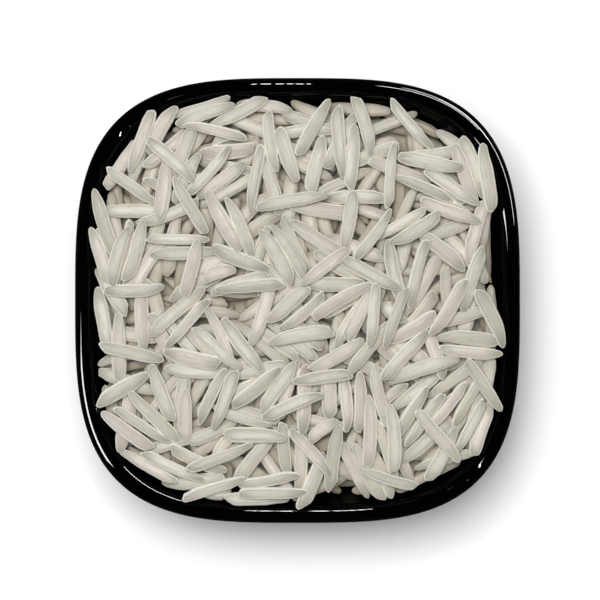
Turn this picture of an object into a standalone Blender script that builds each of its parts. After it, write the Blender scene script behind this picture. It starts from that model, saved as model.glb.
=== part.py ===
"""A small square dish with a glossy black glaze, heaped with raw long-grain rice.

Two solids in metres with +Z up, standing on the XY plane with the origin under the dish's middle:
the dish, and the heap as one body out to its uneven outline. Every level ring of the dish is the
same superellipse at another size, so a profile of (radius, height) points gives its whole shape.
The grains are dropped one by one on a grid of heights, from a fixed seed, and lie where they touch.
"""

import math
import random
from dataclasses import dataclass

import bmesh
import bpy
import numpy as np
from mathutils import Matrix, Vector

MM = 0.001
MICRON = 0.000001

# Dish, where a radius is the half-width of a level ring of the superellipse
DISH_WIDTH = 57 * MM
DISH_HEIGHT = 18 * MM
SQUARENESS = 3.3
LIP_WIDTH = 2.3 * MM
FLOOR_WIDTH = 22 * MM
FLOOR_HEIGHT = 3.2 * MM
FOOT_WIDTH = 30 * MM
FOOT_HEIGHT = 1.2 * MM
FOOT_TREAD = 1.8 * MM
FOOT_TAPER = 0.4 * MM
FOOT_RECESS = 1.0 * MM
WALL_LEAN = math.radians(35)
DISH_STEPS = 48
LIP_STEPS = 8
WALL_STEPS = 6
CLEARANCE = 0.3 * MM

# Heap, whose level falls from the middle to where its core meets the wall
HEAP_RADIUS = 25.8 * MM
HEAP_CROWN = 1.0 * MM
CROWN_STEPS = 4
LOOSE_DEPTH = 3.0 * MM
CORE_DEPTH = 1.1 * MM
CORE_REACH = 2.5 * MM

# Grains
GRAINS_DROPPED = 552
GRAINS_SHOWN = 188
GRAIN_LENGTH = 8.4 * MM
GRAIN_WIDTH = 1.74 * MM
LENGTH_SPREAD = 0.6 * MM
WIDTH_SPREAD = 0.12 * MM
GREATEST_SPREAD = 2
FLATNESS = (0.74, 0.84)
BLUNTNESS = 4
ROUNDNESS = 0.65
GREATEST_BEND = 0.35 * MM
ON_EDGE_SHARE = 0.25
BROKEN_SHARE = 0.05
BROKEN_LENGTH = (0.45, 0.7)
GRAIN_SIDES = 5
GRAIN_RINGS = 3

# How a grain finds its place
SEED = 45
STARTS = 14
START_RANGE = 25 * MM
NUDGES = (0.8 * MM, 0.5 * MM, 0.4 * MM, 0.3 * MM, 0.2 * MM, 0.2 * MM)
GRAIN_REACH = 27.1 * MM
EASY_SLOPE = 0.12
SLOPE_COST = 4 * MM
OUTSIDE_COST = 20 * MM
GREATEST_COST = 9 * MM
BEDDING = 0.2 * MM
CELL = 0.2 * MM
GRID_HALF = 29 * MM
SAMPLES_ALONG = 24
SAMPLES_ACROSS = 5
SAMPLED_SHARE = 0.85

# Materials
BLACK_GLAZE = (0.006, 0.006, 0.006, 1.0)
GLAZE_ROUGHNESS = 0.08
RICE_WHITE = (0.56, 0.53, 0.46, 1.0)
RICE_ROUGHNESS = 0.45
SHARP_EDGE = math.radians(40)


def square_radius(x, y):
    """Half-width of the superellipse through each point."""
    return (np.abs(x) ** SQUARENESS + np.abs(y) ** SQUARENESS) ** (1 / SQUARENESS)


def wall(top, bottom, steps):
    """Profile points below top: it leans inwards at first and runs level into bottom."""
    points = []
    for i in range(1, steps + 1):
        turn = WALL_LEAN + (math.pi / 2 - WALL_LEAN) * i / steps
        across = math.cos(turn) / math.cos(WALL_LEAN)
        down = (math.sin(turn) - math.sin(WALL_LEAN)) / (1 - math.sin(WALL_LEAN))
        radius = bottom[0] + (top[0] - bottom[0]) * across
        points.append((radius, top[1] - (top[1] - bottom[1]) * down))
    return points


def lip():
    """Half a circle, from the lip's outer edge over its crest to its inner edge."""
    middle = DISH_WIDTH / 2 - LIP_WIDTH / 2
    points = []
    for i in range(LIP_STEPS + 1):
        turn = math.pi * i / LIP_STEPS
        radius = middle + LIP_WIDTH / 2 * math.cos(turn)
        points.append((radius, DISH_HEIGHT - LIP_WIDTH / 2 * (1 - math.sin(turn))))
    return points


def inner_side():
    """Profile from the lip's inner edge down to the floor."""
    edge = lip()[-1]
    return [edge] + wall(edge, (FLOOR_WIDTH / 2, FLOOR_HEIGHT), WALL_STEPS)


def outer_side():
    """Profile from below the lip's outer edge down to the foot and into its recess."""
    foot = FOOT_WIDTH / 2
    points = wall(lip()[0], (foot, FOOT_HEIGHT), WALL_STEPS)
    points.append((foot - FOOT_TAPER, 0))
    points.append((foot - FOOT_TAPER - FOOT_TREAD, 0))
    points.append((foot - 2 * FOOT_TAPER - FOOT_TREAD, FOOT_RECESS))
    return points


def bed_line():
    """Radii and heights of the line that stays CLEARANCE away from the lip and the inner wall."""
    line = np.array(lip() + inner_side()[1:])
    run = np.gradient(line, axis=0)
    run /= np.linalg.norm(run, axis=1)[:, None]
    line += CLEARANCE * np.stack([run[:, 1], -run[:, 0]], axis=1)
    line = line[::-1]
    return line[:, 0], line[:, 1]


def bed_height(radius):
    """Lowest height for rice at each radius, where the dish carries it."""
    radii, heights = bed_line()
    return np.interp(radius, radii, heights)


def heap_level(radius):
    """Level that grains seek, a little below the heap's finished surface."""
    return bed_height(HEAP_RADIUS) + HEAP_CROWN * (1 - (radius / HEAP_RADIUS) ** 2)


def turned_square(profile):
    """Closed mesh of a profile that runs down its outer side, turned and then squared ring by ring."""
    bm = bmesh.new()
    verts = [bm.verts.new((radius, 0, height)) for radius, height in profile]
    edges = [bm.edges.new(pair) for pair in zip(verts, verts[1:])]
    bmesh.ops.spin(
        bm, geom=verts + edges, cent=(0, 0, 0), axis=(0, 0, 1), angle=2 * math.pi,
        steps=DISH_STEPS, use_merge=True,
    )
    bmesh.ops.remove_doubles(bm, verts=bm.verts, dist=MICRON)
    bmesh.ops.holes_fill(bm, edges=bm.edges)
    for vert in bm.verts:
        radius = vert.co.xy.length
        stretch = radius / square_radius(vert.co.x, vert.co.y)
        vert.co.x *= stretch
        vert.co.y *= stretch
    bm.normal_update()
    bmesh.ops.recalc_face_normals(bm, faces=bm.faces)
    return bm


def dish_profile():
    return inner_side()[:0:-1] + lip()[::-1] + outer_side()


def core_profile():
    """Crown of the heap from near its middle to the wall, and down along the wall to the floor."""
    points = []
    for i in range(1, CROWN_STEPS + 1):
        radius = HEAP_RADIUS * i / CROWN_STEPS
        points.append((radius, float(heap_level(radius))))
    radii, heights = bed_line()
    for radius, height in zip(radii[::-1], heights[::-1]):
        if radius < HEAP_RADIUS - CLEARANCE:
            points.append((float(radius), float(height)))
    return points


@dataclass
class Grain:
    length: float
    width: float
    thickness: float
    bend: float
    x: float = 0.0
    y: float = 0.0
    yaw: float = 0.0
    z: float = 0.0
    slope: float = 0.0


def fullness(t):
    """Share of a grain's full width at t, which runs from -1 at one end to 1 at the other."""
    return (1 - np.abs(t) ** BLUNTNESS) ** ROUNDNESS


def bow(t):
    """How far the grain's middle line is off to the side at t, as a share of its bend."""
    return 1 / 3 - t ** 2


class Bed:
    """Heights in microns, over a grid seen from above, of the dish and of all that lies in it."""

    def __init__(self):
        cells = round(2 * GRID_HALF / CELL) + 1
        axis = np.linspace(-GRID_HALF, GRID_HALF, cells)
        self.x, self.y = np.meshgrid(axis, axis)
        radius = square_radius(self.x, self.y)
        core = np.where(radius < HEAP_RADIUS, heap_level(radius) - LOOSE_DEPTH, 0)
        self.heights = np.rint(np.maximum(bed_height(radius), core) / MICRON)
        self.owner = np.full(radius.shape, -1)

    def rest(self, grain, poses):
        """Height in microns, slope and furthest radius of the grain at rest on each x, y and yaw."""
        t = (np.arange(SAMPLES_ALONG) + 0.5) / SAMPLES_ALONG * 2 - 1
        side = np.linspace(-SAMPLED_SHARE, SAMPLED_SHARE, SAMPLES_ACROSS)
        full = fullness(t)
        run = t * grain.length / 2
        off = side * (full * grain.width / 2)[:, None] + (grain.bend * bow(t))[:, None]
        cos = np.cos(poses[:, 2])[:, None, None]
        sin = np.sin(poses[:, 2])[:, None, None]
        x = poses[:, 0, None, None] + run[:, None] * cos - off * sin
        y = poses[:, 1, None, None] + run[:, None] * sin + off * cos
        last = len(self.heights) - 1
        column = np.clip(np.rint((x + GRID_HALF) / CELL).astype(int), 0, last)
        row = np.clip(np.rint((y + GRID_HALF) / CELL).astype(int), 0, last)
        under = np.rint(full[:, None] * np.sqrt(1 - side ** 2) * grain.thickness / 2 / MICRON)
        need = (self.heights[row, column] + under).max(axis=2)
        # It lies on one support on each side of its middle: the two that lift the middle most.
        half = SAMPLES_ALONG // 2
        back, front = run[:half, None], run[None, half:]
        left, right = need[:, :half, None], need[:, None, half:]
        middle = np.rint((left * front - right * back) / (front - back)).reshape(len(poses), -1)
        best = middle.argmax(axis=1)
        i, j = np.unravel_index(best, (half, SAMPLES_ALONG - half))
        each = np.arange(len(poses))
        rise = (need[each, half + j] - need[each, i]) * MICRON
        slope = rise / (run[half + j] - run[i])
        return middle[each, best], slope, square_radius(x, y).max(axis=(1, 2))

    def lowest(self, grain, poses):
        """The pose that costs least, with its height, slope and cost: low and level is cheap."""
        z, slope, reach = self.rest(grain, poses)
        level = np.rint(heap_level(square_radius(poses[:, 0], poses[:, 1])) / MICRON)
        steep = np.rint(np.maximum(np.abs(slope) - EASY_SLOPE, 0) * SLOPE_COST / MICRON)
        outside = np.where(reach > GRAIN_REACH, OUTSIDE_COST / MICRON, 0)
        cost = z - level + steep + outside
        k = int(cost.argmin())
        return poses[k], float(z[k]), float(slope[k]), float(cost[k])

    def settle(self, grain, draw):
        """Drops the grain at the lowest of several places, rolls it downhill and says if it stays."""
        starts = []
        for _ in range(STARTS):
            place = [draw.uniform(-START_RANGE, START_RANGE) for _ in "xy"]
            starts.append([*place, draw.uniform(-math.pi, math.pi)])
        pose, z, slope, cost = self.lowest(grain, np.array(starts))
        for step in NUDGES:
            pose, z, slope, cost = self.lowest(grain, pose + nudges(pose[2], step))
        grain.x, grain.y, grain.yaw = (float(value) for value in pose)
        grain.z = z * MICRON
        grain.slope = slope
        return cost * MICRON < GREATEST_COST

    def stamp(self, grain, number):
        """Adds the grain's upper side to the heights, a little low, so that the next one beds in."""
        cos, sin = math.cos(grain.yaw), math.sin(grain.yaw)
        x, y = self.x - grain.x, self.y - grain.y
        run = x * cos + y * sin
        t = np.clip(run / (grain.length / 2), -1, 1)
        full = fullness(t)
        off = y * cos - x * sin - grain.bend * bow(t)
        side = np.clip(off / np.maximum(full * grain.width / 2, MICRON), -1, 1)
        top = grain.z + grain.slope * run - BEDDING
        top = np.rint((top + full * np.sqrt(1 - side ** 2) * grain.thickness / 2) / MICRON)
        over = (np.abs(t) < 1) & (np.abs(side) < 1) & (top > self.heights)
        self.heights[over] = top[over]
        self.owner[over] = number


def nudges(yaw, step):
    """No move, a step to each side, a step along each way and a turn each way."""
    cos, sin = math.cos(yaw) * step, math.sin(yaw) * step
    turn = step / (GRAIN_LENGTH / 2)
    return np.array([
        (0, 0, 0), (-sin, cos, 0), (sin, -cos, 0), (cos, sin, 0), (-cos, -sin, 0),
        (0, 0, turn), (0, 0, -turn),
    ])


def spread(draw):
    """A normal draw that stays within GREATEST_SPREAD."""
    return max(-GREATEST_SPREAD, min(GREATEST_SPREAD, draw.gauss(0, 1)))


def new_grain(draw):
    """A grain of random size: a few are broken short, and some lie on their narrow side."""
    width = GRAIN_WIDTH + spread(draw) * WIDTH_SPREAD
    length = GRAIN_LENGTH + spread(draw) * LENGTH_SPREAD
    if draw.random() < BROKEN_SHARE:
        length *= draw.uniform(*BROKEN_LENGTH)
    bend = draw.uniform(-GREATEST_BEND, GREATEST_BEND)
    thickness = width * draw.uniform(*FLATNESS)
    if draw.random() < ON_EDGE_SHARE:
        width, thickness = thickness, width
    return Grain(length, width, thickness, bend)


def lay_grains():
    """The bed when full, and all the grains that found a place in it."""
    draw = random.Random(SEED)
    bed = Bed()
    grains = []
    for _ in range(GRAINS_DROPPED):
        grain = new_grain(draw)
        if bed.settle(grain, draw):
            bed.stamp(grain, len(grains))
            grains.append(grain)
    return bed, grains


def faceted_grain(grain):
    """Mesh of a grain in its place: a sphere of few faces, drawn out to the grain's form."""
    # A regular polygon of the section's own area reaches this far beyond the section.
    turn = 2 * math.pi / GRAIN_SIDES
    swell = math.sqrt(turn / math.sin(turn))
    bm = bmesh.new()
    bmesh.ops.create_uvsphere(bm, u_segments=GRAIN_SIDES, v_segments=GRAIN_RINGS + 1, radius=1)
    for vert in bm.verts:
        t = vert.co.z
        widening = swell * float(fullness(t)) / max(vert.co.xy.length, MICRON)
        vert.co = Vector((
            t * grain.length / 2,
            vert.co.x * widening * grain.width / 2 + grain.bend * bow(t),
            vert.co.y * widening * grain.thickness / 2,
        ))
    bm.transform(
        Matrix.Translation((grain.x, grain.y, grain.z))
        @ Matrix.Rotation(grain.yaw, 4, "Z")
        @ Matrix.Rotation(-math.atan(grain.slope), 4, "Y")
    )
    return bm


def object_from(name, bm, collection):
    mesh = bpy.data.meshes.new(name)
    bm.to_mesh(mesh)
    bm.free()
    piece = bpy.data.objects.new(name, mesh)
    collection.objects.link(piece)
    return piece


def evaluated_mesh(piece):
    graph = bpy.context.evaluated_depsgraph_get()
    return bpy.data.meshes.new_from_object(piece.evaluated_get(graph))


def keep_largest_island(mesh):
    """Drops loose scraps, and the inner skins of sealed hollows, which fills them."""
    bm = bmesh.new()
    bm.from_mesh(mesh)
    left = set(bm.verts)
    islands = []
    while left:
        island = {left.pop()}
        edge_of_search = list(island)
        while edge_of_search:
            vert = edge_of_search.pop()
            for edge in vert.link_edges:
                other = edge.other_vert(vert)
                if other in left:
                    left.remove(other)
                    island.add(other)
                    edge_of_search.append(other)
        islands.append(island)
    islands.sort(key=len)
    for island in islands[:-1]:
        bmesh.ops.delete(bm, geom=list(island), context="VERTS")
    bm.to_mesh(mesh)
    bm.free()


def plain_material(name, colour, roughness, coat):
    material = bpy.data.materials.new(name)
    material.use_nodes = True
    shader = material.node_tree.nodes["Principled BSDF"]
    shader.inputs["Base Color"].default_value = colour
    shader.inputs["Metallic"].default_value = 0.0
    shader.inputs["Roughness"].default_value = roughness
    shader.inputs["Coat Weight"].default_value = coat
    return material


def make_dish(collection):
    dish = object_from("dish", turned_square(dish_profile()), collection)
    dish.data.shade_smooth()
    dish.data.set_sharp_from_angle(angle=SHARP_EDGE)
    dish.data.materials.append(plain_material("black glaze", BLACK_GLAZE, GLAZE_ROUGHNESS, 1.0))
    return dish


def fit_crown(core, bed):
    """Moves the crown to CORE_DEPTH under the mean surface of the grains near, never into the wall."""
    edge = float(heap_level(HEAP_RADIUS)) - MICRON
    for vert in core.verts:
        if vert.co.z > edge:
            near = np.hypot(bed.x - vert.co.x, bed.y - vert.co.y) < CORE_REACH
            heights = bed.heights[near & (bed.owner >= 0)]
            crown = float(heights.mean()) * MICRON - CORE_DEPTH
            vert.co.z = max(crown, float(bed_height(square_radius(vert.co.x, vert.co.y))))


def make_rice(collection):
    """The core with the grains that show most fused on by one Boolean union."""
    bed, grains = lay_grains()
    core = turned_square(core_profile())
    fit_crown(core, bed)
    rice = object_from("rice", core, collection)
    shown = np.bincount(bed.owner[bed.owner >= 0], minlength=len(grains))
    loose = bpy.data.collections.new("grains")
    bpy.context.scene.collection.children.link(loose)
    for number in np.argsort(-shown, kind="stable")[:GRAINS_SHOWN]:
        object_from(f"grain_{number}", faceted_grain(grains[number]), loose)
    fuse = rice.modifiers.new("fuse", "BOOLEAN")
    fuse.operation = "UNION"
    fuse.operand_type = "COLLECTION"
    fuse.collection = loose
    fuse.solver = "MANIFOLD"
    fused = evaluated_mesh(rice)
    rice.modifiers.remove(fuse)
    for piece in list(loose.objects):
        bpy.data.objects.remove(piece)
    bpy.data.collections.remove(loose)
    keep_largest_island(fused)
    rice.data = fused
    fused.name = "rice"
    fused.materials.clear()
    fused.materials.append(plain_material("raw rice", RICE_WHITE, RICE_ROUGHNESS, 0.0))
    return rice


def main():
    for piece in list(bpy.data.objects):
        bpy.data.objects.remove(piece)
    collection = bpy.data.collections.new("dish of rice")
    bpy.context.scene.collection.children.link(collection)
    make_dish(collection)
    make_rice(collection)


main()
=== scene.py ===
"""Looks of a small square dish with a glossy black glaze, heaped with raw long-grain rice.

The dish is the part's own form with many more faces. The grains lie where the part's rule and seed
put them, so each is over its own solid, and here each gets the form and the colours of a real one.
"""

import math
import random
from dataclasses import dataclass

import bpy
import numpy as np
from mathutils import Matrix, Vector, noise

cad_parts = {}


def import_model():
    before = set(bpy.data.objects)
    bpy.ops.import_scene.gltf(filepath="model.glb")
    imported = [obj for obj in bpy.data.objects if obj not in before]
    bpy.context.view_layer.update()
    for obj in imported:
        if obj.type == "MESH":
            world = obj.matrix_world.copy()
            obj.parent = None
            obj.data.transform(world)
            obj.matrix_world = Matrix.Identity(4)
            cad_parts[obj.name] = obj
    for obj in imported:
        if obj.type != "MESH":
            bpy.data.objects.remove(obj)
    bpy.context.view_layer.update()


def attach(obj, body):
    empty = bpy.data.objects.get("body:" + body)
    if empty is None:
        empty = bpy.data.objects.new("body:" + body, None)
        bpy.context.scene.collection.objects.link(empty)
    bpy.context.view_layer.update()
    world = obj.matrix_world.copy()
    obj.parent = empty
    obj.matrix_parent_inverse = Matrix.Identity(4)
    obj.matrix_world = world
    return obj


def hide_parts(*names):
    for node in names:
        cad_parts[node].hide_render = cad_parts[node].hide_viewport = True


MM = 0.001
MICRON = 0.000001

# Dish, with the sizes of the part
DISH_WIDTH = 57 * MM
DISH_HEIGHT = 18 * MM
SQUARENESS = 3.3
LIP_WIDTH = 2.3 * MM
FLOOR_WIDTH = 22 * MM
FLOOR_HEIGHT = 3.2 * MM
FOOT_WIDTH = 30 * MM
FOOT_HEIGHT = 1.2 * MM
FOOT_TREAD = 1.8 * MM
FOOT_TAPER = 0.4 * MM
FOOT_RECESS = 1.0 * MM
WALL_LEAN = math.radians(35)
CORNER_CUT = 0.25
SHARP_ANGLE = math.radians(40)
CLEARANCE = 0.3 * MM

# Steps of the part's profile, which the bed of the grains follows, and of the finer one that shows
BED_LIP_STEPS = 8
BED_WALL_STEPS = 6
LIP_STEPS = 28
WALL_STEPS = 22
DISH_STEPS = 288
CORE_STEPS = 120
CORE_RINGS = 40
CORE_CELL = (1.6 * MM, 3.4 * MM)
CORE_RELIEF = 0.5 * MM

# Heap and grains, with the sizes of the part
HEAP_RADIUS = 25.8 * MM
HEAP_CROWN = 1.0 * MM
LOOSE_DEPTH = 3.0 * MM
GRAINS_DROPPED = 552
GRAIN_LENGTH = 8.4 * MM
GRAIN_WIDTH = 1.74 * MM
LENGTH_SPREAD = 0.6 * MM
WIDTH_SPREAD = 0.12 * MM
GREATEST_SPREAD = 2
FLATNESS = (0.74, 0.84)
BLUNTNESS = 4
ROUNDNESS = 0.65
GREATEST_BEND = 0.35 * MM
ON_EDGE_SHARE = 0.25
BROKEN_SHARE = 0.05
BROKEN_LENGTH = (0.45, 0.7)

# How a grain finds its place, as in the part
SEED = 45
STARTS = 14
START_RANGE = 25 * MM
NUDGES = (0.8 * MM, 0.5 * MM, 0.4 * MM, 0.3 * MM, 0.2 * MM, 0.2 * MM)
GRAIN_REACH = 27.1 * MM
EASY_SLOPE = 0.12
SLOPE_COST = 4 * MM
OUTSIDE_COST = 20 * MM
GREATEST_COST = 9 * MM
BEDDING = 0.2 * MM
CELL = 0.2 * MM
GRID_HALF = 29 * MM
SAMPLES_ALONG = 24
SAMPLES_ACROSS = 5
SAMPLED_SHARE = 0.85

# Form of a grain that shows
GRAIN_SIDES = 24
GRAIN_RINGS = 20
FORM_SEED = 7
SECTION_POWER = (3.0, 4.0)
SHOULDER = 1.3
TIP_START = (0.22, 0.48)
TIP_LEFT = (0.34, 0.52)
TIP_CAP = 0.14
GERM_START = (0.45, 0.68)
GERM_LEFT = (0.55, 0.78)
GERM_CAP = 0.12
GREATEST_ROLL = math.radians(18)
CUT_ANGLE = (math.radians(18), math.radians(58))
CUT_DEPTH = (0.1 * MM, 0.5 * MM)
CUT_SHARE = 0.9
NOTCH = (0.0, 0.22)
TIP_DRIFT = 0.3 * MM
GROOVE = (0.0, 0.16)
GROOVE_AT = (0.2, 0.5)
GROOVE_HALF = 0.13
SECOND_GROOVE = 0.6
ENDS = (0.5, 1.0)
WAVE_SHARE = 0.025
WAVE_RATE = 3.1
SCOOP_AT = -0.8
SCOOP_HALF = 0.1

# Where a grain is chalky or clear, where a painted highlight lightens its outline, and where painted
# shade darkens it deep between the others
CHALKY_SHARE = 0.36
CHALK = (0.5, 1.0)
LITTLE_CHALK = (0.0, 0.25)
CHALK_AT = (-0.35, 0.35)
CHALK_HALF = 0.45
CHALK_MIDDLE = -0.1
CHALK_ENDS = (0.35, 0.85)
TIP_CLEARNESS = (0.35, 1.0)
CLEAR_TIP = (0.32, 0.9)
# Painted highlight: the sides take the light outline colour where the surface faces up less than these
# values
PAINTED_RIM_FACING = (0.88, 0.4)
# Painted shade: none above this height over the heap's level, all below this depth under it
DEPTH_SHADE = (1.35 * MM, -0.85 * MM)

# Greatest shift in mm of one grain's patterns along the grain, so that no two grains look alike
GREATEST_APART = 500

# Which of the joined meshes a grain is in
BROKEN_BELOW = 0.8
CHALKY_ABOVE = 0.4
WARM_ABOVE = 0.5

# Photograph, in pixels of its 600 x 600 frame
PHOTO_WIDTH = 600
DISH_CENTRE = (297.5, 300.5)
DISH_HALF_WIDTH = 223

# Camera: its height over the rim, and the width of its sensor in mm
CAMERA_RISE = 500 * MM
SENSOR_WIDTH = 36.0


def square_radius(x, y):
    """Half-width of the superellipse through each point."""
    return (np.abs(x) ** SQUARENESS + np.abs(y) ** SQUARENESS) ** (1 / SQUARENESS)


def wall(top, bottom, steps):
    """Profile points below top: it leans inwards at first and runs level into bottom."""
    points = []
    for i in range(1, steps + 1):
        turn = WALL_LEAN + (math.pi / 2 - WALL_LEAN) * i / steps
        across = math.cos(turn) / math.cos(WALL_LEAN)
        down = (math.sin(turn) - math.sin(WALL_LEAN)) / (1 - math.sin(WALL_LEAN))
        radius = bottom[0] + (top[0] - bottom[0]) * across
        points.append((radius, top[1] - (top[1] - bottom[1]) * down))
    return points


def lip(steps):
    """Half a circle, from the lip's outer edge over its crest to its inner edge."""
    middle = DISH_WIDTH / 2 - LIP_WIDTH / 2
    points = []
    for i in range(steps + 1):
        turn = math.pi * i / steps
        radius = middle + LIP_WIDTH / 2 * math.cos(turn)
        points.append((radius, DISH_HEIGHT - LIP_WIDTH / 2 * (1 - math.sin(turn))))
    return points


def inner_side(steps):
    """Profile from the lip's inner edge down to the floor."""
    edge = lip(2)[-1]
    return [edge] + wall(edge, (FLOOR_WIDTH / 2, FLOOR_HEIGHT), steps)


def outer_side(steps):
    """Profile from below the lip's outer edge down to the foot and into its recess."""
    foot = FOOT_WIDTH / 2
    points = wall(lip(2)[0], (foot, FOOT_HEIGHT), steps)
    ring = [
        points.pop(),
        (foot - FOOT_TAPER, 0),
        (foot - FOOT_TAPER - FOOT_TREAD, 0),
        (foot - 2 * FOOT_TAPER - FOOT_TREAD, FOOT_RECESS),
        (foot - 3 * FOOT_TAPER - FOOT_TREAD, FOOT_RECESS),
    ]
    return points + rounded(rounded(rounded(ring)))


def rounded(points):
    """The same line with each inner corner cut to two."""
    cut = [points[0]]
    kept = 1 - CORNER_CUT
    for (x0, z0), (x1, z1) in zip(points, points[1:]):
        cut.append((kept * x0 + CORNER_CUT * x1, kept * z0 + CORNER_CUT * z1))
        cut.append((CORNER_CUT * x0 + kept * x1, CORNER_CUT * z0 + kept * z1))
    return cut + [points[-1]]


def bed_line():
    """Radii and heights of the line that stays CLEARANCE away from the lip and the inner wall."""
    line = np.array(lip(BED_LIP_STEPS) + inner_side(BED_WALL_STEPS)[1:])
    run = np.gradient(line, axis=0)
    run /= np.linalg.norm(run, axis=1)[:, None]
    line += CLEARANCE * np.stack([run[:, 1], -run[:, 0]], axis=1)
    line = line[::-1]
    return line[:, 0], line[:, 1]


def bed_height(radius):
    """Lowest height for rice at each radius, where the dish carries it."""
    radii, heights = bed_line()
    return np.interp(radius, radii, heights)


def heap_level(radius):
    """Level that grains seek, a little below the heap's finished surface."""
    return bed_height(HEAP_RADIUS) + HEAP_CROWN * (1 - (radius / HEAP_RADIUS) ** 2)


@dataclass
class Grain:
    length: float
    width: float
    thickness: float
    bend: float
    x: float = 0.0
    y: float = 0.0
    yaw: float = 0.0
    z: float = 0.0
    slope: float = 0.0


def fullness(t):
    """Share of a grain's full width at t, which runs from -1 at one end to 1 at the other."""
    return (1 - np.abs(t) ** BLUNTNESS) ** ROUNDNESS


def bow(t):
    """How far the grain's middle line is off to the side at t, as a share of its bend."""
    return 1 / 3 - t ** 2


class Bed:
    """Heights in microns, over a grid seen from above, of the dish and of all that lies in it."""

    def __init__(self):
        cells = round(2 * GRID_HALF / CELL) + 1
        axis = np.linspace(-GRID_HALF, GRID_HALF, cells)
        self.x, self.y = np.meshgrid(axis, axis)
        radius = square_radius(self.x, self.y)
        core = np.where(radius < HEAP_RADIUS, heap_level(radius) - LOOSE_DEPTH, 0)
        self.heights = np.rint(np.maximum(bed_height(radius), core) / MICRON)

    def rest(self, grain, poses):
        """Height in microns, slope and furthest radius of the grain at rest on each x, y and yaw."""
        t = (np.arange(SAMPLES_ALONG) + 0.5) / SAMPLES_ALONG * 2 - 1
        side = np.linspace(-SAMPLED_SHARE, SAMPLED_SHARE, SAMPLES_ACROSS)
        full = fullness(t)
        run = t * grain.length / 2
        off = side * (full * grain.width / 2)[:, None] + (grain.bend * bow(t))[:, None]
        cos = np.cos(poses[:, 2])[:, None, None]
        sin = np.sin(poses[:, 2])[:, None, None]
        x = poses[:, 0, None, None] + run[:, None] * cos - off * sin
        y = poses[:, 1, None, None] + run[:, None] * sin + off * cos
        last = len(self.heights) - 1
        column = np.clip(np.rint((x + GRID_HALF) / CELL).astype(int), 0, last)
        row = np.clip(np.rint((y + GRID_HALF) / CELL).astype(int), 0, last)
        under = np.rint(full[:, None] * np.sqrt(1 - side ** 2) * grain.thickness / 2 / MICRON)
        need = (self.heights[row, column] + under).max(axis=2)
        # It lies on one support on each side of its middle: the two that lift the middle most.
        half = SAMPLES_ALONG // 2
        back, front = run[:half, None], run[None, half:]
        left, right = need[:, :half, None], need[:, None, half:]
        middle = np.rint((left * front - right * back) / (front - back)).reshape(len(poses), -1)
        best = middle.argmax(axis=1)
        i, j = np.unravel_index(best, (half, SAMPLES_ALONG - half))
        each = np.arange(len(poses))
        rise = (need[each, half + j] - need[each, i]) * MICRON
        slope = rise / (run[half + j] - run[i])
        return middle[each, best], slope, square_radius(x, y).max(axis=(1, 2))

    def lowest(self, grain, poses):
        """The pose that costs least, with its height, slope and cost: low and level is cheap."""
        z, slope, reach = self.rest(grain, poses)
        level = np.rint(heap_level(square_radius(poses[:, 0], poses[:, 1])) / MICRON)
        steep = np.rint(np.maximum(np.abs(slope) - EASY_SLOPE, 0) * SLOPE_COST / MICRON)
        outside = np.where(reach > GRAIN_REACH, OUTSIDE_COST / MICRON, 0)
        cost = z - level + steep + outside
        k = int(cost.argmin())
        return poses[k], float(z[k]), float(slope[k]), float(cost[k])

    def settle(self, grain, draw):
        """Drops the grain at the lowest of several places, rolls it downhill and says if it stays."""
        starts = []
        for _ in range(STARTS):
            place = [draw.uniform(-START_RANGE, START_RANGE) for _ in "xy"]
            starts.append([*place, draw.uniform(-math.pi, math.pi)])
        pose, z, slope, cost = self.lowest(grain, np.array(starts))
        for step in NUDGES:
            pose, z, slope, cost = self.lowest(grain, pose + nudges(pose[2], step))
        grain.x, grain.y, grain.yaw = (float(value) for value in pose)
        grain.z = z * MICRON
        grain.slope = slope
        return cost * MICRON < GREATEST_COST

    def stamp(self, grain):
        """Adds the grain's upper side to the heights, a little low, so that the next one beds in."""
        cos, sin = math.cos(grain.yaw), math.sin(grain.yaw)
        x, y = self.x - grain.x, self.y - grain.y
        run = x * cos + y * sin
        t = np.clip(run / (grain.length / 2), -1, 1)
        full = fullness(t)
        off = y * cos - x * sin - grain.bend * bow(t)
        side = np.clip(off / np.maximum(full * grain.width / 2, MICRON), -1, 1)
        top = grain.z + grain.slope * run - BEDDING
        top = np.rint((top + full * np.sqrt(1 - side ** 2) * grain.thickness / 2) / MICRON)
        over = (np.abs(t) < 1) & (np.abs(side) < 1) & (top > self.heights)
        self.heights[over] = top[over]


def nudges(yaw, step):
    """No move, a step to each side, a step along each way and a turn each way."""
    cos, sin = math.cos(yaw) * step, math.sin(yaw) * step
    turn = step / (GRAIN_LENGTH / 2)
    return np.array([
        (0, 0, 0), (-sin, cos, 0), (sin, -cos, 0), (cos, sin, 0), (-cos, -sin, 0),
        (0, 0, turn), (0, 0, -turn),
    ])


def spread(draw):
    """A normal draw that stays within GREATEST_SPREAD."""
    return max(-GREATEST_SPREAD, min(GREATEST_SPREAD, draw.gauss(0, 1)))


def new_grain(draw):
    """A grain of random size: a few are broken short, and some lie on their narrow side."""
    width = GRAIN_WIDTH + spread(draw) * WIDTH_SPREAD
    length = GRAIN_LENGTH + spread(draw) * LENGTH_SPREAD
    if draw.random() < BROKEN_SHARE:
        length *= draw.uniform(*BROKEN_LENGTH)
    bend = draw.uniform(-GREATEST_BEND, GREATEST_BEND)
    thickness = width * draw.uniform(*FLATNESS)
    if draw.random() < ON_EDGE_SHARE:
        width, thickness = thickness, width
    return Grain(length, width, thickness, bend)


def lay_grains():
    """All the grains that found a place in the bed."""
    draw = random.Random(SEED)
    bed = Bed()
    grains = []
    for _ in range(GRAINS_DROPPED):
        grain = new_grain(draw)
        if bed.settle(grain, draw):
            bed.stamp(grain)
            grains.append(grain)
    return grains


def smoothstep(low, high, value):
    share = np.clip((value - low) / (high - low), 0, 1)
    return share * share * (3 - 2 * share)


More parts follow.
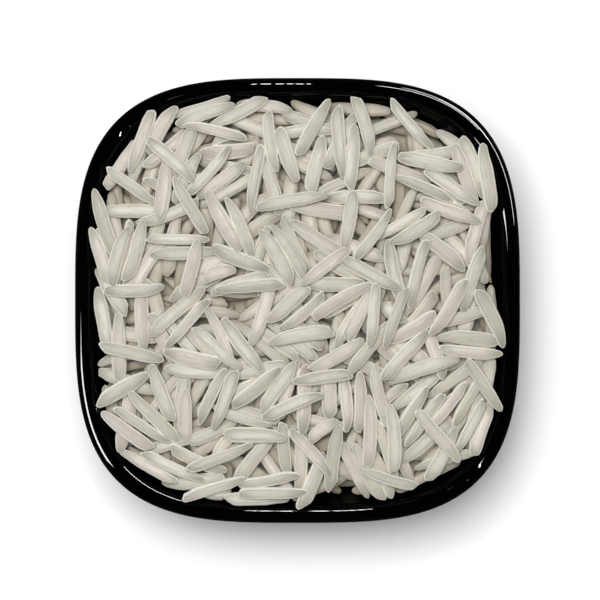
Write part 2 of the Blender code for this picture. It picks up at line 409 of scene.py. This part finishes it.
def mesh_object(name, points, faces, material):
    """A smooth-shaded object in the scene."""
    mesh = bpy.data.meshes.new(name)
    mesh.from_pydata(points.tolist(), [], faces)
    mesh.shade_smooth()
    mesh.materials.append(material)
    piece = bpy.data.objects.new(name, mesh)
    bpy.context.scene.collection.objects.link(piece)
    return piece


def turned_square(profile, steps):
    """Points and faces of a profile that runs down its outer side, turned and squared ring by ring."""
    turn = np.arange(steps) / steps * 2 * math.pi
    cos, sin = np.cos(turn), np.sin(turn)
    squared = 1 / square_radius(cos, sin)
    points = []
    for radius, height in profile:
        ring = [cos * squared * radius, sin * squared * radius, np.full(steps, height)]
        points.append(np.stack(ring, axis=1))
    points = np.concatenate(points)
    faces = []
    for ring in range(len(profile) - 1):
        for i in range(steps):
            j = (i + 1) % steps
            low, high = (ring + 1) * steps, ring * steps
            faces.append((high + i, low + i, low + j, high + j))
    faces.append(tuple(range(steps)))
    last = (len(profile) - 1) * steps
    faces.append(tuple(last + i for i in range(steps - 1, -1, -1)))
    return points, faces


def dish_profile():
    return inner_side(WALL_STEPS)[:0:-1] + lip(LIP_STEPS)[::-1] + outer_side(WALL_STEPS)


def make_dish():
    points, faces = turned_square(dish_profile(), DISH_STEPS)
    dish = mesh_object("dish_glazed", points, faces, black_glaze())
    dish.data.set_sharp_from_angle(angle=SHARP_ANGLE)
    place(dish, "dish")
    return dish


def place(piece, node):
    """The piece rides on the one body and stands for the node, which it hides."""
    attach(piece, "root")
    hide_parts(node)


def core_profile():
    """Top of the rice under the loose grains, out to the wall, and down along the wall."""
    radii, heights = bed_line()
    inside = heights < heap_level(radii) - LOOSE_DEPTH
    edge = float(radii[inside].max())
    points = []
    for i in range(1, CORE_RINGS + 1):
        radius = edge * i / CORE_RINGS
        points.append((radius, float(heap_level(radius)) - LOOSE_DEPTH))
    for radius, height in zip(radii[::-1], heights[::-1]):
        if radius < edge:
            points.append((float(radius), float(height)))
    return points


def make_core(material):
    """What the deepest gaps show: the same rice, as relief of the size of grains."""
    points, faces = turned_square(core_profile(), CORE_STEPS)
    crown = CORE_STEPS * (CORE_RINGS - 1)
    for point in points[:crown]:
        at = Vector((point[0] / CORE_CELL[0], point[1] / CORE_CELL[1], 0))
        point[2] += CORE_RELIEF * noise.noise(at)
    place(mesh_object("rice_core", points, faces, material), "rice")


@dataclass
class Form:
    """How one grain differs from the plain form."""
    roll: float
    germ_side: float
    cut_angle: float
    cut_depth: float
    notch: float
    drift: float
    groove: float
    groove_at: float
    wave: float
    section: float
    tip: tuple
    germ: tuple
    clear: float
    chalk: float
    chalk_at: float
    shade: float
    warmth: float
    apart: float


def new_form(draw):
    chalky = draw.random() < CHALKY_SHARE
    return Form(
        roll=draw.uniform(-GREATEST_ROLL, GREATEST_ROLL),
        germ_side=draw.choice((-1, 1)),
        cut_angle=draw.uniform(*CUT_ANGLE),
        cut_depth=draw.uniform(*CUT_DEPTH),
        notch=draw.uniform(*NOTCH),
        drift=draw.uniform(-TIP_DRIFT, TIP_DRIFT),
        groove=draw.uniform(*GROOVE),
        groove_at=draw.uniform(*GROOVE_AT),
        wave=draw.uniform(0, 2 * math.pi),
        section=draw.uniform(*SECTION_POWER),
        tip=(draw.uniform(*TIP_START), draw.uniform(*TIP_LEFT), TIP_CAP),
        germ=(draw.uniform(*GERM_START), draw.uniform(*GERM_LEFT), GERM_CAP),
        clear=draw.uniform(*TIP_CLEARNESS),
        chalk=draw.uniform(*CHALK) if chalky else draw.uniform(*LITTLE_CHALK),
        chalk_at=draw.uniform(*CHALK_AT),
        shade=draw.random(),
        warmth=draw.random(),
        apart=draw.uniform(0, GREATEST_APART),
    )


def grain_grid():
    """The places t along the grain and the turns round it of every point between its two ends."""
    along = np.sin(np.linspace(-1, 1, GRAIN_RINGS + 2)[1:-1] * math.pi / 2)
    turn = np.arange(GRAIN_SIDES) / GRAIN_SIDES * 2 * math.pi
    t, turn = np.meshgrid(along, turn, indexing="ij")
    return t.ravel(), turn.ravel()


def grain_faces():
    faces = []
    last = GRAIN_RINGS * GRAIN_SIDES
    for i in range(GRAIN_SIDES):
        j = (i + 1) % GRAIN_SIDES
        faces.append((last, j, i))
        for ring in range(GRAIN_RINGS - 1):
            low, high = ring * GRAIN_SIDES, (ring + 1) * GRAIN_SIDES
            faces.append((low + i, low + j, high + j, high + i))
        top = (GRAIN_RINGS - 1) * GRAIN_SIDES
        faces.append((last + 1, top + i, top + j))
    return faces


def taper(t, start, left, cap):
    """1 as far as start, then down to the share that is left at a round cap, which ends at t = 1."""
    past = np.clip((t - start) / (1 - start), 0, 1) ** SHOULDER
    last = np.clip((t - 1 + cap) / cap, 0, 1)
    return (1 - (1 - left) * past) * np.sqrt(1 - last ** 2)


def width_share(t, form):
    """Full width along the middle, a long taper to the tip and a blunt germ end."""
    return np.where(t > 0, taper(t, *form.tip), taper(-t, *form.germ))


def grain_points(grain, form, t, turn):
    """Points in place in the dish, and how far to the side each lies on the grain."""
    cos, sin = np.cos(turn), np.sin(turn)
    power = form.section
    section = (np.abs(cos) ** power + np.abs(sin) ** power) ** (-1 / power)
    side, up = cos * section, sin * section
    germ = smoothstep(*ENDS, -t)
    tip = smoothstep(*ENDS, t)
    share = width_share(t, form)
    wide = share * (1 + WAVE_SHARE * np.sin(WAVE_RATE * t + form.wave))
    scoop = np.exp(-((t - SCOOP_AT) / SCOOP_HALF) ** 2) * np.clip(side * form.germ_side, 0, 1)
    wide = wide * (1 - form.notch * scoop)
    groove = form.groove * np.exp(-((side - form.groove_at) / GROOVE_HALF) ** 2)
    groove += SECOND_GROOVE * form.groove * np.exp(-((side + form.groove_at) / GROOVE_HALF) ** 2)
    thick = share * (1 - groove * (1 - germ) * (1 - tip))
    x = t * grain.length / 2
    y = side * wide * grain.width / 2 + form.drift * tip
    z = up * thick * grain.thickness / 2
    # The germ has left a slanting facet, across which the end is pressed back.
    out_x, out_y = -math.cos(form.cut_angle), form.germ_side * math.sin(form.cut_angle)
    past = (x + grain.length / 2 - form.cut_depth) * out_x + y * out_y
    past = CUT_SHARE * np.clip(past, 0, None)
    x, y = x - past * out_x, y - past * out_y
    roll = form.roll
    y, z = y * math.cos(roll) - z * math.sin(roll), y * math.sin(roll) + z * math.cos(roll)
    y = y + grain.bend * bow(t)
    tilt = math.atan(grain.slope)
    x, z = x * math.cos(tilt) - z * math.sin(tilt), x * math.sin(tilt) + z * math.cos(tilt)
    cos_yaw, sin_yaw = math.cos(grain.yaw), math.sin(grain.yaw)
    placed = [
        grain.x + x * cos_yaw - y * sin_yaw,
        grain.y + x * sin_yaw + y * cos_yaw,
        grain.z + z,
    ]
    return np.stack(placed, axis=1), side, up


def make_grains(name, members, material):
    """One joined mesh of these grains, with the values that their material reads at each point."""
    t, turn = grain_grid()
    t = np.concatenate([t, [-1, 1]])
    turn = np.concatenate([turn, [0, 0]])
    ends = np.concatenate([np.ones(len(t) - 2), [0, 0]])
    points, at, tone_and_shade, marks_and_highlight = [], [], [], []
    faces = []
    plan = grain_faces()
    for grain, form in members:
        placed, side, up = grain_points(grain, form, t, turn)
        first = len(t) * len(points)
        points.append(placed)
        level = heap_level(square_radius(placed[:, 0], placed[:, 1]))
        # Painted shade: points that lie below the heap's level get darker.
        depth_shade = smoothstep(*DEPTH_SHADE, placed[:, 2] - level)
        faces.extend(tuple(first + corner for corner in face) for face in plan)
        own = [t * grain.length / 2 / MM + form.apart, side * ends, up * ends]
        at.append(np.stack(own, axis=1))
        ones = np.ones(len(t))
        tone_and_shade.append(np.stack([form.shade * ones, form.warmth * ones, depth_shade], axis=1))
        streak = form.chalk * np.exp(-((side - form.chalk_at) / CHALK_HALF) ** 2)
        streak = streak * (1 - smoothstep(*CHALK_ENDS, np.abs(t - CHALK_MIDDLE)))
        tip = form.clear * smoothstep(*CLEAR_TIP, np.abs(t))
        marks_and_highlight.append(np.stack([streak, 0 * ones, tip], axis=1))
    piece = mesh_object(name, np.concatenate(points), faces, material)
    marks_and_highlight = np.concatenate(marks_and_highlight)
    # Painted highlight: the light outline colour goes on where the surface faces sideways.
    marks_and_highlight[:, 1] = smoothstep(*PAINTED_RIM_FACING, np.abs(normals_of(piece)[:, 2]))
    for key, values in (
        ("grain_at", np.concatenate(at)), ("grain_tone_and_shade", np.concatenate(tone_and_shade)), ("grain_marks_and_highlight", marks_and_highlight),
    ):
        attribute = piece.data.attributes.new(key, "FLOAT_VECTOR", "POINT")
        attribute.data.foreach_set("vector", values.ravel())
    place(piece, "rice")


def normals_of(piece):
    normals = np.empty(len(piece.data.vertices) * 3)
    piece.data.vertices.foreach_get("normal", normals)
    return normals.reshape(-1, 3)


def make_rice():
    """The core and the grains over it: whole ones, clear, warm or chalky, and broken ones."""
    material = raw_rice()
    make_core(shaded_rice())
    draw = random.Random(FORM_SEED)
    clear, warm, chalky, broken = [], [], [], []
    for grain in lay_grains():
        form = new_form(draw)
        if grain.length < GRAIN_LENGTH * BROKEN_BELOW:
            broken.append((grain, form))
        elif form.chalk > CHALKY_ABOVE:
            chalky.append((grain, form))
        elif form.warmth > WARM_ABOVE:
            warm.append((grain, form))
        else:
            clear.append((grain, form))
    make_grains("rice_grains_clear", clear, material)
    make_grains("rice_grains_warm", warm, material)
    make_grains("rice_grains_chalky", chalky, material)
    make_grains("rice_grains_broken", broken, material)


# Sockets of a colour mix: its two colours and its result
MIX_COLOURS = (6, 7)
MIX_RESULT = 2


class Nodes:
    """A short way to add nodes to one material."""

    def __init__(self, name):
        self.material = bpy.data.materials.new(name)
        self.material.use_nodes = True
        self.tree = self.material.node_tree
        self.shader = self.tree.nodes["Principled BSDF"]

    def add(self, kind, **settings):
        node = self.tree.nodes.new(kind)
        for key, value in settings.items():
            setattr(node, key, value)
        return node

    def link(self, source, target):
        self.tree.links.new(source, target)

    def attribute(self, name):
        node = self.add("ShaderNodeAttribute", attribute_name=name)
        return node.outputs["Vector"]

    def split(self, vector):
        node = self.add("ShaderNodeSeparateXYZ")
        self.link(vector, node.inputs[0])
        return node.outputs

    def stretched(self, vector, scale):
        node = self.add("ShaderNodeMapping")
        node.inputs["Scale"].default_value = scale
        self.link(vector, node.inputs["Vector"])
        return node.outputs["Vector"]

    def noise(self, vector, scale=1.0, detail=2.0):
        node = self.add("ShaderNodeTexNoise")
        node.inputs["Scale"].default_value = scale
        node.inputs["Detail"].default_value = detail
        self.link(vector, node.inputs["Vector"])
        return node.outputs["Fac"]

    def ranged(self, value, low, high, to_low, to_high):
        """The value's range from low to high, spread over to_low to to_high."""
        node = self.add("ShaderNodeMapRange")
        for key, number in (
            ("From Min", low), ("From Max", high), ("To Min", to_low), ("To Max", to_high),
        ):
            node.inputs[key].default_value = number
        self.link(value, node.inputs["Value"])
        return node.outputs["Result"]

    def product(self, first, second):
        node = self.add("ShaderNodeMath", operation="MULTIPLY")
        self.link(first, node.inputs[0])
        self.link(second, node.inputs[1])
        return node.outputs[0]

    def mixed(self, share, first, second):
        """First and second are colours or sockets."""
        node = self.add("ShaderNodeMix", data_type="RGBA")
        for value, key in zip((first, second), MIX_COLOURS):
            if isinstance(value, tuple):
                node.inputs[key].default_value = value
            else:
                self.link(value, node.inputs[key])
        self.link(share, node.inputs[0])
        return node.outputs[MIX_RESULT]

    def bump(self, height, distance, under=None):
        node = self.add("ShaderNodeBump")
        node.inputs["Distance"].default_value = distance
        node.inputs["Strength"].default_value = 1.0
        self.link(height, node.inputs["Height"])
        if under is not None:
            self.link(under, node.inputs["Normal"])
        return node.outputs["Normal"]


def colour(red, green, blue):
    return (red, green, blue, 1.0)


# Colours of the rice and the dish
RICE_PLAIN = colour(0.50, 0.476, 0.406)
RICE_PINK = colour(0.515, 0.463, 0.421)
RICE_GREY = colour(0.425, 0.407, 0.344)
RICE_CHALK = colour(0.66, 0.635, 0.56)
RICE_TIP = colour(0.325, 0.311, 0.262)
# Painted highlight: the light colour of the grains' outlines
RICE_PAINTED_RIM = colour(0.97, 0.945, 0.86)
# Painted shade: the darker colour of grains deep in the heap
RICE_DEPTH_SHADE = colour(0.37, 0.325, 0.235)
RICE_FLECK = colour(0.22, 0.19, 0.14)
# Painted shade: rice as dark as it looks in the deep gaps, for the core
RICE_SHADED = colour(0.42, 0.385, 0.29)
GLAZE_BLACK = colour(0.0014, 0.0014, 0.0015)
BARE_CLAY = colour(0.16, 0.13, 0.10)

# From which value on each of these colours starts, and where it is strongest
PINK_FROM = (0.55, 1.0)
CHALK_LINES_FROM = (0.5, 0.75)
CLEAR_LINES_FROM = (0.45, 0.25)
FLECKS_FROM = (0.68, 0.76)
# Painted highlight along the outline
PAINTED_RIM_FROM = (0.05, 1.0)

# How far each goes there, and how much of the streak's chalk and the core's colour is always left
PINK_SHARE = 0.9
CHALK_LINES_SHARE = 0.45
CLEAR_LINES_SHARE = 0.35
FLECK_SHARE = 0.5
# Painted highlight along the outline
PAINTED_RIM_SHARE = 0.95
# Painted shade deep in the heap
DEPTH_SHADE_SHARE = 0.75
CHALK_LEFT = 0.35
CORE_COLOUR_LEFT = 0.7

# Values between which most of a pattern lies, and those between which the core's patches change
NOISE_RANGE = (0.3, 0.7)
PATCH_RANGE = (0.35, 0.65)

# How fine each pattern is: along the grain per mm, and across and up it per half-width
CLOUDS = (0.35, 1.2, 1.2)
LINES = (0.5, 9.0, 9.0)
FLECKS = (2.2, 3.0, 3.0)
ROUGH_PATCHES = (0.8, 3.0, 3.0)
DENTS = (1.1, 1.6, 1.6)

# The same for the patterns of the core and the glaze, per metre
CORE_PATCHES = (600, 300, 300)
GLAZE_FINENESS = 900.0
RIPPLE_FINENESS = 180.0

# Surface of the rice
RICE_ROUGHNESS = (0.34, 0.5)
CORE_ROUGHNESS = 0.6
LINE_DEPTH = 0.03 * MM
DENT_DEPTH = 0.08 * MM
SUBSURFACE_WEIGHT = 0.9
SUBSURFACE_RADIUS = (1.0, 0.95, 0.85)
SUBSURFACE_SCALE = 0.3 * MM
SHEEN_WEIGHT = 0.6
SHEEN_ROUGHNESS = 0.18

# Surface of the glaze, and the heights between which it gives way to the bare tread
GLAZE_ROUGHNESS = (0.008, 0.014)
RIPPLE_DEPTH = 1 * MICRON
GLAZE_IOR = 1.45
GLAZE_SPECULAR = 0.12
TREAD_BAND = (0.25 * MM, 0.12 * MM)
BARE_ROUGHNESS = 0.85


def raw_rice():
    """Slightly clear body, chalkier streak in the middle, greyer tips, a painted highlight along the
    outline and painted shade deep in the heap.
    """
    nodes = Nodes("raw_rice")
    at = nodes.attribute("grain_at")
    # Random tone and warmth of each grain, and its painted shade by depth
    shade, warmth, depth_shade = nodes.split(nodes.attribute("grain_tone_and_shade"))
    # Chalky streak, painted highlight on the outline, and clear tip
    streak, edge, tip = nodes.split(nodes.attribute("grain_marks_and_highlight"))
    out_of_depth_shade = nodes.ranged(depth_shade, 0.0, 1.0, 1.0, 0.0)
    body = nodes.mixed(shade, RICE_PLAIN, RICE_GREY)
    body = nodes.mixed(nodes.ranged(warmth, *PINK_FROM, 0.0, PINK_SHARE), body, RICE_PINK)
    cloudy = nodes.noise(nodes.stretched(at, CLOUDS))
    chalk = nodes.product(streak, nodes.ranged(cloudy, *NOISE_RANGE, CHALK_LEFT, 1.0))
    body = nodes.mixed(chalk, body, RICE_CHALK)
    body = nodes.mixed(tip, body, RICE_TIP)
    lines = nodes.noise(nodes.stretched(at, LINES))
    chalk_lines = nodes.ranged(lines, *CHALK_LINES_FROM, 0.0, CHALK_LINES_SHARE)
    body = nodes.mixed(chalk_lines, body, RICE_CHALK)
    clear_lines = nodes.ranged(lines, *CLEAR_LINES_FROM, 0.0, CLEAR_LINES_SHARE)
    body = nodes.mixed(clear_lines, body, RICE_TIP)
    flecks = nodes.noise(nodes.stretched(at, FLECKS), detail=1.0)
    body = nodes.mixed(nodes.ranged(flecks, *FLECKS_FROM, 0.0, FLECK_SHARE), body, RICE_FLECK)
    # Painted highlight along the outline, left off where painted shade falls deep in the heap
    painted_rim_light = nodes.ranged(nodes.product(edge, out_of_depth_shade), *PAINTED_RIM_FROM, 0.0, PAINTED_RIM_SHARE)
    body = nodes.mixed(painted_rim_light, body, RICE_PAINTED_RIM)
    # Painted shade: grains deep in the heap darker and more olive
    body = nodes.mixed(nodes.ranged(depth_shade, 0.0, 1.0, 0.0, DEPTH_SHADE_SHARE), body, RICE_DEPTH_SHADE)
    nodes.link(body, nodes.shader.inputs["Base Color"])
    rough = nodes.noise(nodes.stretched(at, ROUGH_PATCHES))
    nodes.link(nodes.ranged(rough, *NOISE_RANGE, *RICE_ROUGHNESS), nodes.shader.inputs["Roughness"])
    dents = nodes.noise(nodes.stretched(at, DENTS))
    normal = nodes.bump(lines, LINE_DEPTH)
    normal = nodes.bump(dents, DENT_DEPTH, under=normal)
    nodes.link(normal, nodes.shader.inputs["Normal"])
    nodes.shader.inputs["Subsurface Weight"].default_value = SUBSURFACE_WEIGHT
    nodes.shader.inputs["Subsurface Radius"].default_value = SUBSURFACE_RADIUS
    nodes.shader.inputs["Subsurface Scale"].default_value = SUBSURFACE_SCALE
    nodes.shader.inputs["Sheen Weight"].default_value = SHEEN_WEIGHT
    nodes.shader.inputs["Sheen Roughness"].default_value = SHEEN_ROUGHNESS
    return nodes.material


def shaded_rice():
    # The core's colour is painted shade, in random darker patches
    nodes = Nodes("shaded_rice")
    position = nodes.add("ShaderNodeTexCoord").outputs["Object"]
    patches = nodes.noise(nodes.stretched(position, CORE_PATCHES))
    darker = colour(*(CORE_COLOUR_LEFT * value for value in RICE_SHADED[:3]))
    body = nodes.mixed(nodes.ranged(patches, *PATCH_RANGE, 0, 1), darker, RICE_SHADED)
    nodes.link(body, nodes.shader.inputs["Base Color"])
    nodes.shader.inputs["Roughness"].default_value = CORE_ROUGHNESS
    return nodes.material


def black_glaze():
    """Nearly black and glossy, with a faint unevenness, and bare clay on the foot's tread."""
    nodes = Nodes("black_glaze")
    position = nodes.add("ShaderNodeTexCoord").outputs["Object"]
    height = nodes.split(position)[2]
    bare = nodes.ranged(height, *TREAD_BAND, 0.0, 1.0)
    body = nodes.mixed(bare, GLAZE_BLACK, BARE_CLAY)
    nodes.link(body, nodes.shader.inputs["Base Color"])
    uneven = nodes.noise(position, GLAZE_FINENESS, detail=3.0)
    glossy = nodes.ranged(uneven, *NOISE_RANGE, *GLAZE_ROUGHNESS)
    rough = nodes.add("ShaderNodeMath", operation="MAXIMUM")
    nodes.link(glossy, rough.inputs[0])
    nodes.link(nodes.ranged(bare, 0.0, 1.0, 0.0, BARE_ROUGHNESS), rough.inputs[1])
    nodes.link(rough.outputs[0], nodes.shader.inputs["Roughness"])
    ripple = nodes.noise(position, RIPPLE_FINENESS, detail=1.0)
    normal = nodes.bump(ripple, RIPPLE_DEPTH)
    nodes.link(normal, nodes.shader.inputs["Normal"])
    nodes.shader.inputs["IOR"].default_value = GLAZE_IOR
    nodes.shader.inputs["Specular IOR Level"].default_value = GLAZE_SPECULAR
    return nodes.material


# Floor that the camera sees, and the darker one that the glaze mirrors
FLOOR_HALF = 3.0
FLOOR_ALBEDO = 0.92
MIRRORED_ALBEDO = 0.06
MIRRORED_HEIGHT = 0.02 * MM
PAINT_ROUGHNESS = 0.9
PAINT_SPECULAR = 0.1


def matt_paint(name, albedo):
    nodes = Nodes(name)
    nodes.shader.inputs["Base Color"].default_value = colour(albedo, albedo, albedo)
    nodes.shader.inputs["Roughness"].default_value = PAINT_ROUGHNESS
    nodes.shader.inputs["Specular IOR Level"].default_value = PAINT_SPECULAR
    return nodes.material


def level_sheet(name, height, albedo):
    corners = np.array([
        (-FLOOR_HALF, -FLOOR_HALF, height), (FLOOR_HALF, -FLOOR_HALF, height),
        (FLOOR_HALF, FLOOR_HALF, height), (-FLOOR_HALF, FLOOR_HALF, height),
    ])
    sheet = mesh_object(name, corners, [(0, 1, 2, 3)], matt_paint(name, albedo))
    return sheet


def make_floor():
    """The pale floor, and a darker one that only the glaze mirrors: its rim is black in the photo."""
    floor = level_sheet("floor", 0.0, FLOOR_ALBEDO)
    floor.visible_glossy = False
    mirrored = level_sheet("mirrored_floor", MIRRORED_HEIGHT, MIRRORED_ALBEDO)
    mirrored.visible_camera = False
    mirrored.visible_diffuse = False
    mirrored.visible_transmission = False
    mirrored.visible_shadow = False


# Soft light: azimuth and elevation in degrees, distance, width and height in metres, and radiance
KEY = (122, 78, 1.0, (0.45, 0.45), 14.9)
SKY_STRENGTH = 0.345

# Strips that only the glaze mirrors: azimuth, elevation, width and height, and radiance
LAMP_DISTANCE = 0.8
STRIPS = {
    "strip_left": (200, 45, (0.34, 0.25), 110.0),
    "strip_right_low": (42, 27, (1.0, 0.10), 100.0),
    "strip_right_mid": (50, 31, (0.37, 0.04), 210.0),
    "strip_right_high": (62, 47, (0.40, 0.045), 220.0),
}

# The row of small lamps that the lip mirrors as dashes: where each starts and ends, in mm to the
# right of the middle, and the elevation, height in metres and radiance of all
DASHES = ((-28, -24), (-20, -13), (-10, -6), (-4.5, -2), (-1, 1.5), (3, 4.5))
DASH_ELEVATION = math.radians(51)
DASH_HEIGHT = 0.10
DASH_RADIANCE = 190.0

# The specks on the lip's corners in the photo: their pixel, the width and height of the lamp that
# they mirror, and its radiance
SPECKS = (
    ((120.7, 132.7), (0.002, 0.06), 420.0),
    ((172, 98), (0.0008, 0.10), 60.0),
    ((468, 480), (0.001, 0.14), 60.0),
    ((480, 466), (0.006, 0.20), 200.0),
)


def add_lamp(name, target, away, distance, size, radiance):
    """An area light that faces the target. Its size is its level width and its height."""
    light = bpy.data.lights.new(name, "AREA")
    light.shape = "RECTANGLE"
    light.size, light.size_y = size
    light.energy = radiance * math.pi * size[0] * size[1]
    lamp = bpy.data.objects.new(name, light)
    lamp.location = target + away * distance
    lamp.rotation_euler = away.to_track_quat("Z", "Y").to_euler()
    bpy.context.scene.collection.objects.link(lamp)
    return lamp


def add_strip(name, azimuth, elevation, distance, size, radiance):
    """A lamp that faces the middle of the dish."""
    turn, rise = math.radians(azimuth), math.radians(elevation)
    away = Vector((
        math.cos(turn) * math.cos(rise), math.sin(turn) * math.cos(rise), math.sin(rise),
    ))
    return add_lamp(name, Vector((0, 0, 0)), away, distance, size, radiance)


def photo_point(pixel):
    """The point of the rim's plane that the photo shows at this pixel."""
    scale = DISH_WIDTH / 2 / DISH_HALF_WIDTH
    x = (pixel[0] - DISH_CENTRE[0]) * scale
    y = (DISH_CENTRE[1] - pixel[1]) * scale
    return Vector((x, y, DISH_HEIGHT))


def lip_facing(point):
    """The direction that the lip faces above or below this point of the rim's plane."""
    radius = float(square_radius(point.x, point.y))
    outward = (radius - (DISH_WIDTH - LIP_WIDTH) / 2) / (LIP_WIDTH / 2)
    outward = max(-1, min(1, outward))
    power = SQUARENESS - 1
    return Vector((
        outward * math.copysign(abs(point.x / radius) ** power, point.x),
        outward * math.copysign(abs(point.y / radius) ** power, point.y),
        math.sqrt(1 - outward ** 2),
    )).normalized()


def add_mirrored(name, pixel, size, radiance):
    """A lamp that the lip mirrors to the camera at this pixel of the photo."""
    point = photo_point(pixel)
    facing = lip_facing(point)
    view = (bpy.context.scene.camera.location - point).normalized()
    away = 2 * facing.dot(view) * facing - view
    return add_lamp(name, point, away, LAMP_DISTANCE, size, radiance)


def make_dashes():
    """A row of lamps towards the photo's top, mirrored by the lip's top and bottom side."""
    lamps = []
    away = Vector((0, math.cos(DASH_ELEVATION), math.sin(DASH_ELEVATION)))
    for number, (left, right) in enumerate(DASHES):
        size = ((right - left) * MM, DASH_HEIGHT)
        target = Vector(((left + right) / 2 * MM, 0, DISH_HEIGHT))
        lamps.append(add_lamp(f"dash_{number}", target, away, LAMP_DISTANCE, size, DASH_RADIANCE))
    return lamps


def make_specks():
    lamps = []
    for number, (pixel, size, radiance) in enumerate(SPECKS):
        lamps.append(add_mirrored(f"speck_{number}", pixel, size, radiance))
    return lamps


def link_light(lamps, dish, state):
    """The dish is the only piece that the lamps light, or with EXCLUDE the only one that they don't."""
    receivers = bpy.data.collections.new(f"{state.lower()}_dish")
    receivers.objects.link(dish)
    receivers.collection_objects[0].light_linking.link_state = state
    for lamp in lamps:
        lamp.light_linking.receiver_collection = receivers


def make_lights(dish):
    """A soft key from above, a little to the upper left, and strips that only the glaze mirrors."""
    link_light([add_strip("key", *KEY)], dish, "EXCLUDE")
    strips = []
    for name, (azimuth, elevation, size, radiance) in STRIPS.items():
        strips.append(add_strip(name, azimuth, elevation, LAMP_DISTANCE, size, radiance))
    strips += make_dashes() + make_specks()
    link_light(strips, dish, "INCLUDE")
    for strip in strips:
        strip.visible_diffuse = False


def make_sky():
    """Even light from all round, which the glaze doesn't mirror."""
    world = bpy.data.worlds.new("studio")
    bpy.context.scene.world = world
    world.use_nodes = True
    sky = world.node_tree.nodes["Background"]
    sky.inputs["Color"].default_value = colour(1.0, 1.0, 1.0)
    sky.inputs["Strength"].default_value = SKY_STRENGTH
    world.cycles_visibility.glossy = False


def make_camera():
    """Straight above the rim's plane, where the photograph's frame is PHOTO_WIDTH pixels wide."""
    pixel = DISH_WIDTH / 2 / DISH_HALF_WIDTH
    data = bpy.data.cameras.new("camera")
    data.sensor_width = SENSOR_WIDTH
    data.lens = SENSOR_WIDTH * CAMERA_RISE / (PHOTO_WIDTH * pixel)
    camera = bpy.data.objects.new("camera", data)
    camera.location = (
        (PHOTO_WIDTH / 2 - DISH_CENTRE[0]) * pixel,
        (DISH_CENTRE[1] - PHOTO_WIDTH / 2) * pixel,
        DISH_HEIGHT + CAMERA_RISE,
    )
    bpy.context.scene.collection.objects.link(camera)
    bpy.context.scene.camera = camera


def main():
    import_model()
    make_camera()
    dish = make_dish()
    make_rice()
    make_floor()
    make_lights(dish)
    make_sky()
    bpy.context.scene.view_settings.view_transform = "Standard"


main()
